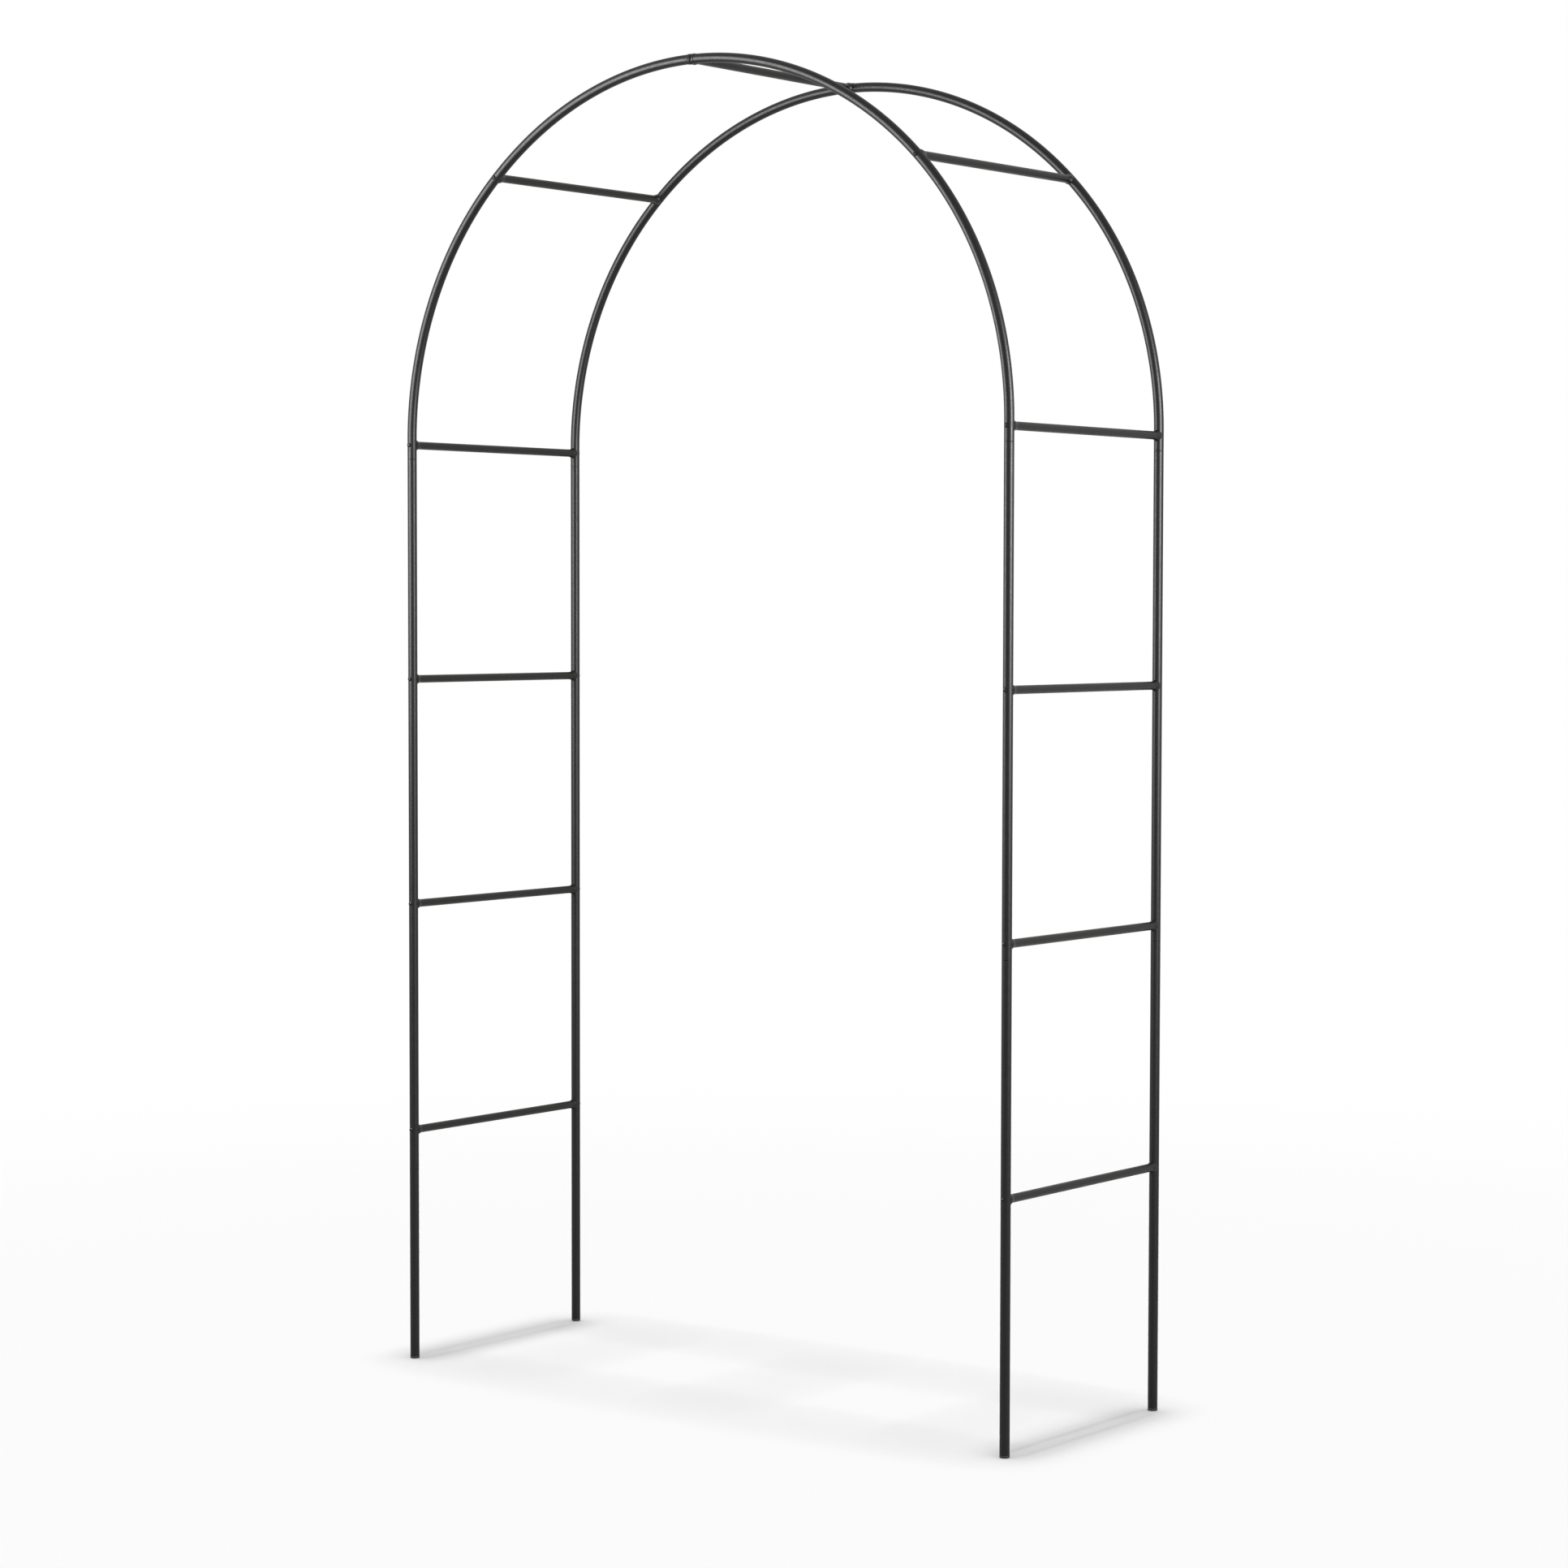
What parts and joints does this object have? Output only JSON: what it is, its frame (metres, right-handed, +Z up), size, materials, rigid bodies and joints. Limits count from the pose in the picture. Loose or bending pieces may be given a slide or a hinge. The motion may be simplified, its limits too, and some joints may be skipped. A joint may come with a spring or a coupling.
{
  "type": "garden arch",
  "caption": "Free-standing garden arch: round-topped tube hoops held apart by ladder rungs for climbing plants, in dark powder-coated push-fit steel.",
  "frame": {"origin": "on the ground, midway between the four legs", "axes": "+Z up; +X across the path from leg to leg; +Y along the path, from the front hoop to the rear"},
  "size_m": [1.3008, 0.467, 2.2792],
  "materials": {
    "hoop_tube": "satin charcoal powder coat",
    "rung_tube": "satin charcoal powder coat",
    "joiner": "black-coated sleeve",
    "screw": "black-coated screw",
    "thread_plug": "zinc-plated insert",
    "foot_plug": "black polyethylene"
  },
  "bodies": {
    "root": {"front_left_lower_leg": "hoop_tube", "front_left_upper_leg": "hoop_tube", "front_left_half_crown": "hoop_tube", "front_left_foot_plug": "foot_plug", "front_right_lower_leg": "hoop_tube", "front_right_upper_leg": "hoop_tube", "front_right_half_crown": "hoop_tube", "front_right_foot_plug": "foot_plug", "rear_left_lower_leg": "hoop_tube", "rear_left_upper_leg": "hoop_tube", "rear_left_half_crown": "hoop_tube", "rear_left_foot_plug": "foot_plug", "rear_right_lower_leg": "hoop_tube", "rear_right_upper_leg": "hoop_tube", "rear_right_half_crown": "hoop_tube", "rear_right_foot_plug": "foot_plug", "front_crown_joiner": "joiner", "rear_crown_joiner": "joiner", "left_rung_1": "rung_tube", "left_rung_2": "rung_tube", "left_rung_3": "rung_tube", "left_rung_4": "rung_tube", "right_rung_1": "rung_tube", "right_rung_2": "rung_tube", "right_rung_3": "rung_tube", "right_rung_4": "rung_tube", "left_haunch_rung": "rung_tube", "top_rung": "rung_tube", "right_haunch_rung": "rung_tube", "joint_screws": "screw", "rung_thread_plugs": "thread_plug"}
  },
  "joints": []
}
